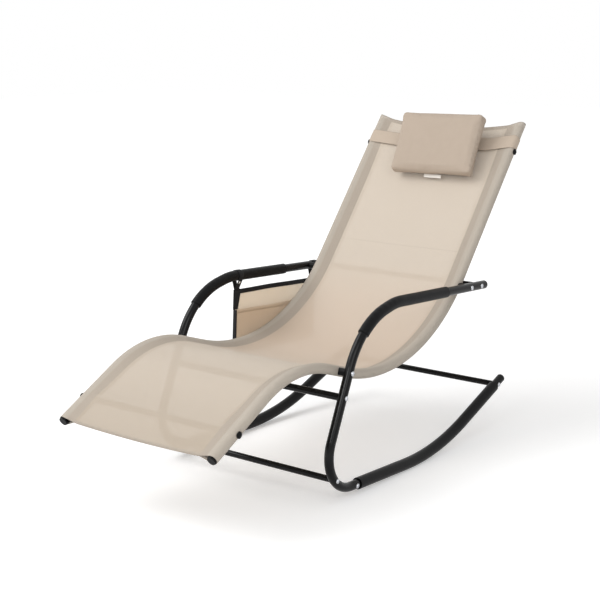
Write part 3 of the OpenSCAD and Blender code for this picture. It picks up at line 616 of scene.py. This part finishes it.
# once round the rails, from the front of the right one: (x, off, how much of the front it has)
rounds = [(x, band_reach, 1.0) for x in spaced((rail_x, -rail_x), run_steps)]
half_turn = spaced((math.pi / 2, 3 * math.pi / 2), turn_steps)[1:-1]
rounds += [(-rail_x + band_reach * math.cos(a), band_reach * math.sin(a), max(0.0, math.sin(a)))
           for a in half_turn]
rounds += [(x, -band_reach, 0.0) for x in spaced((-rail_x, rail_x), run_steps)]
rounds += [(rail_x - band_reach * math.cos(a), -band_reach * math.sin(a), max(0.0, -math.sin(a)))
           for a in half_turn]
rows = []
for step, share in enumerate(spaced((0.0, 1.0), band_rows)):
    row = []
    for x, off, front in rounds:
        to_pillow = (rail_x - abs(x)) / (rail_x - pillow_half_width - math.copysign(pillow_x, x))
        droop = band_droop * min(1.0, max(0.0, to_pillow)) * front
        low = band_cap_clear + (band_low - band_cap_clear) * front
        tilt = x * math.tan(headrest_tilt) * front
        slack = math.sin(to_pillow * slack_waves + step * slack_lag) * math.sin(share * math.pi)
        curl = band_curl * max(0.0, 1 - share * curl_rate)
        row.append(on_back(x, low + (band_high - low) * share - droop + tilt,
                           off + (abs(band_slack * slack) + curl) * front))
    rows.append(row)
band = skin("elastic_band", rows, ribbed_elastic, round_about=True, thick=band_thickness)
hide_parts("headrest_band")
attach(band, "headrest")

# The pillow: a box-shaped bag of the same mesh cloth in a darker sand, stuffed with fibre. Its
# flat back is sewn to the band, its front leans away from the backrest, and its seams pull the
# sides into small creases.
pillow_low, pillow_height = 0.318, 0.191
pillow_lean = math.radians(15)
pillow_foot_thick, pillow_head_thick = 0.030, 0.040
pillow_back_off = 0.0175
pillow_corner, pillow_pull, pillow_inset = 0.011, 0.0022, 0.0016
middle_share, side_share, middle_deep = 0.55, 0.45, 0.022
crease_depth, crease_pitch, crease_reach = 0.0024, 0.018, 0.007
crease_wander, crease_wander_rate = 3, 40
stuffing_frames, stuffing_pressure, pillow_swell = 14, 2.4, 0.0050
quick_grid, fine_grid = 0.008, 0.0042
knit_pitch = 0.0021
corner_steps, edge_steps = 5, 18


def bag_outline():
    """The bag's outline seen from its front: shares of its half width and half height."""
    wide, high = pillow_half_width - pillow_corner, pillow_height / 2 - pillow_corner
    corners = (Vector((wide, high)), Vector((-wide, high)), Vector((-wide, -high)),
               Vector((wide, -high)))
    runs = (Vector((-2 * wide, 0)), Vector((0, -2 * high)), Vector((2 * wide, 0)),
            Vector((0, 2 * high)))
    ring = []
    for quarter, (corner, run) in enumerate(zip(corners, runs)):
        turns = spaced((quarter * math.pi / 2, (quarter + 1) * math.pi / 2), corner_steps)
        arc = [corner + pillow_corner * Vector((math.cos(a), math.sin(a))) for a in turns]
        ring += arc + [arc[-1] + run * k / edge_steps for k in range(1, edge_steps)]
    return [(p.x / pillow_half_width, p.y / (pillow_height / 2)) for p in ring]


def pillow_point(share, way, px, py):
    """A point of the unstuffed bag, a share of the way to its rim and from its back to its front."""
    half = pillow_half_width - pillow_inset - pillow_pull * (1 - py * py)
    x = pillow_x + share * px * half
    v = share * py * (1 - (pillow_inset + pillow_pull * (1 - px * px)) * 2 / pillow_height)
    height = (v + 1) / 2
    face_up = pillow_low + height * pillow_height * math.cos(pillow_lean)
    face_off = pillow_back_off + pillow_foot_thick + height * pillow_height * math.sin(pillow_lean)
    thick = pillow_foot_thick + (pillow_head_thick - pillow_foot_thick) * height
    rear_up = face_up + height * thick * math.sin(pillow_lean)
    behind_face = thick * math.cos(pillow_lean) * (middle_share + side_share * share ** 3)
    rear_off = max(pillow_back_off, face_off - behind_face
                   - middle_deep * (1 - share ** 3) * height)
    up = rear_up + (face_up - rear_up) * way
    aside, rise = x - pillow_x, up - pillow_low - pillow_height / 2
    return on_back(pillow_x + aside * math.cos(headrest_tilt) - rise * math.sin(headrest_tilt),
                   up + rise * (math.cos(headrest_tilt) - 1) + aside * math.sin(headrest_tilt),
                   rear_off + (face_off - rear_off) * way)


sand_cloth, strand, shader = new_finish("sand_mesh_cloth")
across, y_way, z_way = strand.node("ShaderNodeTexCoord", out="Object").parts()
up_along = y_way * math.cos(back_heading) + z_way * math.sin(back_heading)
ribs, picks = ripples(across, knit_pitch), ripples(up_along, knit_pitch)
slub = grain(strand, 0.030)
wire(shader, Base_Color=((ribs * picks) * 0.25 + slub).blend(dye(174, 159, 144), dye(180, 165, 150)),
     Roughness=0.82, Specular_IOR_Level=0.25, Normal=relief(ribs * 0.5 + picks * 0.5, 0.00015))
# the bag's rings, from the middle of its back over its rim to its front: (share of rim, way)
levels = [(0.25, 0), (0.5, 0), (0.72, 0), (0.88, 0), (0.97, 0.02), (1, 0.12), (1, 0.38), (1, 0.62),
          (1, 0.90), (0.985, 0.98), (0.95, 1), (0.8, 1), (0.6, 1), (0.3, 1)]
bag = bag_outline()
rows = [[pillow_point(share, way, px, py) for px, py in bag] for share, way in levels]
pillow = skin("headrest_cushion", rows, sand_cloth, round_about=True)
closing = bmesh.new()
closing.from_mesh(pillow.data)
closing.verts.ensure_lookup_table()
closing.faces.new([closing.verts[k] for k in reversed(range(len(bag)))])
closing.faces.new([closing.verts[(len(levels) - 1) * len(bag) + k] for k in range(len(bag))])
bmesh.ops.recalc_face_normals(closing, faces=closing.faces)
closing.to_mesh(pillow.data)
closing.free()


def keep_changed(piece):
    """Gives a piece the mesh that its modifiers make, and takes them off."""
    depsgraph = bpy.context.evaluated_depsgraph_get()
    made = bpy.data.meshes.new_from_object(piece.evaluated_get(depsgraph))
    piece.modifiers.clear()
    piece.data = made
    made.polygons.foreach_set("use_smooth", [True] * len(made.polygons))


even = pillow.modifiers.new("even_faces", "REMESH")
even.mode, even.voxel_size = "VOXEL", fine_grid
keep_changed(pillow)
unstuffed = [v.co.copy() for v in pillow.data.vertices]
cloth = pillow.modifiers.new("stuffing", "CLOTH")
cloth.settings.use_pressure = True
cloth.settings.uniform_pressure_force = stuffing_pressure
cloth.settings.effector_weights.gravity = 0
cloth.settings.tension_stiffness = 40
cloth.settings.compression_stiffness = 12
cloth.settings.bending_stiffness = 0.6
cloth.settings.quality = 6
cloth.point_cache.frame_end = stuffing_frames + 1
for moment in range(1, stuffing_frames + 1):
    bpy.context.scene.frame_set(moment)
keep_changed(pillow)
bpy.context.scene.frame_set(1)
for vertex, before in zip(pillow.data.vertices, unstuffed):
    moved = vertex.co - before
    if moved.length > pillow_swell:
        vertex.co = before + moved * (pillow_swell / moved.length)
finer = pillow.modifiers.new("finer", "SUBSURF")
finer.levels = finer.render_levels = 1
keep_changed(pillow)
up_back = Vector((0, math.cos(back_heading), math.sin(back_heading)))
off_back = Vector((0, -math.sin(back_heading), math.cos(back_heading)))
rail_line = on_back(0, 0, 0)
for vertex in pillow.data.vertices:
    from_side = pillow_half_width - abs(vertex.co.x - pillow_x)
    along = (vertex.co - rail_line).dot(up_back)
    sewn = max(0.0, 1 - abs(from_side) / crease_reach)
    wander = crease_wander * noise.noise(vertex.co * crease_wander_rate)
    pinch = 0.5 + 0.5 * math.sin(along * 2 * math.pi / crease_pitch + wander)
    vertex.co.x -= math.copysign(crease_depth * pinch * sewn, vertex.co.x - pillow_x)
    short = pillow_back_off - (vertex.co - rail_line).dot(off_back)
    if short > 0:
        vertex.co += off_back * short
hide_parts("headrest_pillow")
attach(pillow, "headrest")

# The label: a scrap of white satin ribbon, left blank, whose upper edge is caught in the pillow's
# lower seam. It lies nearly flat, just off the backrest.
label_x, label_size = 0.031, (0.060, 0.0105)
label_top_up, label_top_off, label_lift = 0.0075, 0.0155, 0.0030
label_wave, label_waves, label_thick = 0.0006, 9, 0.0004
label_columns, label_rows = 16, 8
label_cloth, strand, shader = new_finish("white_label")
satin = grain(strand, 0.0008)
wire(shader, Base_Color=satin.blend(dye(236, 230, 222), dye(244, 239, 232)), Roughness=0.6)
rows = [[on_back(label_x + x * label_size[0], pillow_low + label_top_up - label_size[1] * y,
                 label_top_off + label_lift * (1 - y) + label_wave * math.sin(x * label_waves))
         for x in spaced((-0.5, 0.5), label_columns)] for y in spaced((0.0, 1.0), label_rows)]
label = skin("blank_label", rows, label_cloth, thick=label_thick)
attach(label, "headrest")

# The side pocket: a flat bag of mesh cloth that hangs from the left arm and bellies out between
# its edges. Its outer panel is tall and beige, its inner one lower and browner; both are coloured
# paler than the sling's cloth as painted light against the shade they hang in, and the inner one's
# browner, darker tone is painted shade. Black woven tape binds them and makes a narrow gusset
# between them, so that a magazine can stand in it.
arm_bolt = (0.354661, 0.462634)
arm_fall = math.radians(3.2)
pocket_front, pocket_rear = -0.35008, 0.033
tall_top, low_top, pocket_foot = -0.044, -0.102, -0.234
pocket_half = 0.0045
corner_round = 0.024
panel_inset = 0.002
belly, belly_share, slack_share, foot_rate = 0.0072, 0.8, 0.25, 6
slack_across, slack_up = 11, 3
low_hem = 0.010
binding_width, top_tape, binding_half, tape_pitch = 0.009, 0.0125, 0.0004, 0.0016
gusset_out = pocket_half + 0.0010
lip = 0.0007 + binding_half
gusset_bend, low_hem_in = 0.003, 0.004
panel_rows, panel_columns, rise_steps, gusset_steps = 44, 80, 12, 6
side_steps, foot_steps, bend_steps = 30, 70, 10


def in_pocket(x, back, up):
    """A point in the pocket's own directions, from the left arm's bolt: back along the arm, up."""
    return Vector((-arm_x + x, arm_bolt[0] + back * math.cos(arm_fall) + up * math.sin(arm_fall),
                   arm_bolt[1] - back * math.sin(arm_fall) + up * math.cos(arm_fall)))


def pocket_edge(top, inset):
    """The pocket's outline, down its front edge, along its foot and up its rear edge: (back, up)."""
    front, rear, foot = pocket_front + inset, pocket_rear - inset, pocket_foot + inset
    bend = corner_round - inset
    quarter = spaced((0.0, math.pi / 2), bend_steps)
    edge = [(front, top + (foot + bend - top) * k / side_steps) for k in range(side_steps)]
    edge += [(front + bend - bend * math.cos(a), foot + bend - bend * math.sin(a)) for a in quarter]
    edge += [(front + bend + (rear - front - 2 * bend) * k / foot_steps, foot)
             for k in range(1, foot_steps)]
    edge += [(rear - bend + bend * math.sin(a), foot + bend - bend * math.cos(a)) for a in quarter]
    edge += [(rear, foot + bend + (top - foot - bend) * k / side_steps)
             for k in range(1, side_steps + 1)]
    return edge


def panel_bulge(back, up, top):
    """How far a panel bellies out at a place: 0 along its sides and foot, with slack waves."""
    share = max(0.0, min(1.0, (back - pocket_front) / (pocket_rear - pocket_front)))
    height = max(0.0, min(1.0, (up - pocket_foot) / (top - pocket_foot)))
    rise = math.sin(math.pi * share) * math.sin(math.pi * height / 2)
    slack = math.sin(share * slack_across + height * slack_up) * slack_share
    return (belly * (rise * belly_share + slack * math.sin(math.pi * share))
            * min(1.0, height * foot_rate))


def pocket_panel(name, side, top, cloth):
    """A panel of the pocket as rows from its foot to its top edge, narrower at round corners."""
    rows = []
    for up in spaced((pocket_foot + panel_inset, top), panel_rows):
        below = max(0.0, pocket_foot + corner_round - up)
        nip = corner_round - math.sqrt(corner_round ** 2 - below ** 2)
        ends = (pocket_front + panel_inset + nip, pocket_rear - panel_inset - nip)
        rows.append([in_pocket(side * (pocket_half + panel_bulge(back, up, top)), back, up)
                     for back in spaced(ends, panel_columns)])
    return skin(name, rows, cloth, thick=cloth_thickness)


panel_cloths = []
# painted light and shade: both cloths are paler than the sling's cloth to make up for the pocket's
# shade, the inner one darker and browner as its own shade
for name, light, dark, bare in (
        ("outer_pocket_cloth_painted_light", dye(248, 231, 204), dye(240, 222, 194), 0.74),
        ("inner_pocket_cloth_painted_light_and_shade", dye(236, 213, 186), dye(224, 200, 172), 0.62)):
    cloth_finish, strand, shader = new_finish(name)
    colour, cover, yarns = weave(strand, light, dark, bare, yarn_pitch)
    wire(shader, Base_Color=colour, Roughness=0.8, Specular_IOR_Level=0.2, Alpha=cover,
         Normal=yarns)
    panel_cloths.append(cloth_finish)
tall_panel = pocket_panel("pocket_outer_panel", -1, tall_top, panel_cloths[0])
low_panel = pocket_panel("pocket_inner_panel", 1, low_top, panel_cloths[1])

# its tapes, as rows of (x, inset) from an outline: one binds both panels round the gusset, wider on
# the outer face, and one goes over the tall panel's sides and top. The low panel's top has a hem.
black_tape, strand, shader = new_finish("black_woven_tape")
colour, _, yarns = weave(strand, dye(20, 20, 21), dye(32, 32, 34), 0.0, tape_pitch)
wire(shader, Base_Color=colour, Roughness=0.75, Specular_IOR_Level=0.25, Normal=yarns)
outer_wrap = [(-gusset_out, binding_width), (-gusset_out, binding_width * 0.5),
              (-gusset_out, 0.0008), (-gusset_out + 0.0006, 0.0002), (-gusset_out + 0.0012, 0.0)]
flat_wrap = [(x, 0.0)
             for x in spaced((-gusset_out + gusset_bend, gusset_out - gusset_bend), gusset_steps)]
wrap = outer_wrap + flat_wrap + [(-x, inset / 2) for x, inset in reversed(outer_wrap)]
edges = {inset: pocket_edge(low_top, inset) for _, inset in wrap}
rows = [[in_pocket(x, *edges[inset][k]) for x, inset in wrap] for k in range(len(edges[0.0]))]
gusset = skin("pocket_edge_binding", rows, black_tape, thick=2 * binding_half)


def hem_edge(top, inset):
    """The outline of the low panel's top edge."""
    ends = (pocket_front + low_hem_in, pocket_rear - low_hem_in)
    return [(back, top - inset) for back in spaced(ends, panel_columns)]


def tall_edge(top, inset):
    """The outline of the tall panel above the low one, up its front side, over and down again."""
    ends = (pocket_front + inset, pocket_rear - inset)
    rise = spaced((low_top, top - inset), rise_steps)
    return ([(ends[0], up) for up in rise]
            + [(back, top - inset) for back in spaced(ends, panel_columns)[1:-1]]
            + [(ends[1], up) for up in reversed(rise)])


def over_edge(name, outline, side, top, depth, finish):
    """A tape or hem that is folded over a panel's edge, where the outline runs."""
    fold = [(-lip, depth), (-lip, 0.001), (-lip * 0.6, -0.0004), (0.0, -0.0008),
            (lip * 0.6, -0.0004), (lip, 0.001), (lip, depth)]
    lines = {inset: outline(top, inset) for _, inset in fold}
    rows = []
    for k, inner in enumerate(lines[depth]):
        middle = side * (pocket_half + panel_bulge(*inner, top))
        rows.append([in_pocket(middle + x, *lines[inset][k]) for x, inset in fold])
    return skin(name, rows, finish, thick=2 * binding_half)


top_binding = over_edge("pocket_top_binding", tall_edge, -1, tall_top, top_tape, black_tape)
low_edge = over_edge("pocket_inner_hem", hem_edge, 1, low_top, low_hem, panel_cloths[1])
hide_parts("pocket_tall_panel")
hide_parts("pocket_low_panel")
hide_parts("pocket_edge_tape")
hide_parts("pocket_top_tape")
for piece, slot in ((tall_panel, "pocket_tall_textile"), (low_panel, "pocket_low_textile"),
                    (low_edge, "pocket_low_textile"), (gusset, "black_webbing"),
                    (top_binding, "black_webbing")):
    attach(piece, "side_pocket")

# The pocket's stitches: grey thread along the tapes, a few millimetres from their edges. They make
# the pocket whole: each panel hangs with its tapes and thread, and all its parts swing together.
edge_thread_in, top_thread_in, top_thread_lift = 0.0075, 0.002, 0.0005
top_ends_in, top_stitches = 0.020, 85
tape_thread, strand, shader = new_finish("grey_thread")
wire(shader, Base_Color=dye(70, 70, 72), Roughness=0.7)
outward = Vector((-1, 0, 0))
sewn = [in_pocket(-gusset_out - thread_lift, *edge)
        for edge in pocket_edge(low_top, edge_thread_in)]
spots = [(at, (after - before).normalized(), outward)
         for before, at, after in zip(sewn, sewn[1:], sewn[2:])]
for back in spaced((pocket_front + top_ends_in, pocket_rear - top_ends_in), top_stitches):
    x = -pocket_half - panel_bulge(back, tall_top, tall_top) - lip - top_thread_lift
    spots.append((in_pocket(x, back, tall_top - top_tape + top_thread_in),
                  in_pocket(0, 1, 0) - in_pocket(0, 0, 0), outward))
binding_thread = stitches("pocket_binding_stitches", spots, tape_thread)
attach(binding_thread, "side_pocket")

# The pocket's straps: two lengths of ribbed black webbing. Each loops over the arm, closes to a
# point with a snap and runs down the outer panel's edge, where it is sewn on.
strap_wide, strap_thick, strap_play = 0.018, 0.0012, 0.0003
front_strap, rear_strap = -0.34108, 0.024
tail_flare, flare_fade = 0.013, 3
strap_foot = (-0.0027, tall_top + strap_play)
webbing_pitch = 0.0022
tail_steps, climb_steps, loop_steps, strap_columns = 12, 10, 36, 6
rib_webbing, strand, shader = new_finish("ribbed_webbing")
rib = ripples(strand.node("ShaderNodeUVMap").parts()[1], webbing_pitch) * 0.5 + 0.5
wire(shader, Base_Color=rib.blend(dye(16, 16, 17), dye(28, 28, 30)), Roughness=0.7,
     Specular_IOR_Level=0.25, Normal=relief(rib, 0.0003))


def strap_loop(round_radius):
    """A strap's line in x and up: up its sewn tail, over the arm and back down to its foot."""
    foot = Vector(strap_foot)
    lean = math.atan2(foot.y, foot.x)
    spread = math.acos(round_radius / foot.length)
    arc = [Vector((math.cos(a), math.sin(a))) * round_radius
           for a in spaced((lean - spread, lean + spread - 2 * math.pi), loop_steps)]
    beside = Vector((strap_thick / 2, 0))
    climb = spaced((foot - beside, arc[0]), climb_steps)[:-1]
    fall = spaced((arc[-1], foot + beside), climb_steps)[1:]
    tail_x = -pocket_half + lip + binding_half + strap_thick / 2
    tail = spaced((Vector((tail_x, low_top)), Vector((tail_x, tall_top))), tail_steps)[:-1]
    return tail + climb + arc + fall


for name, back, reach in (("front", front_strap, grip_radius), ("rear", rear_strap, tube_radius)):
    line = strap_loop(reach + strap_play + strap_thick / 2)
    strap_length = sum((b - a).length for a, b in zip(line, line[1:]))
    inward = -math.copysign(tail_flare, back)
    rows = []
    for k, p in enumerate(line):
        on_tail = k < tail_steps
        flare = (inward * k / tail_steps if on_tail
                 else inward * max(0.0, 1 - (k - tail_steps + 1) / flare_fade))
        sides = (-strap_wide / 2 + min(0.0, flare), strap_wide / 2 + max(0.0, flare))
        rows.append([in_pocket(p.x - (panel_bulge(back + w, p.y, tall_top) if on_tail else 0.0),
                               back + w, p.y) for w in spaced(sides, strap_columns)])
    strap = skin("pocket_" + name + "_webbing", rows, rib_webbing, thick=strap_thick)
    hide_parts("pocket_" + name + "_strap")
    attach(strap, "side_pocket")
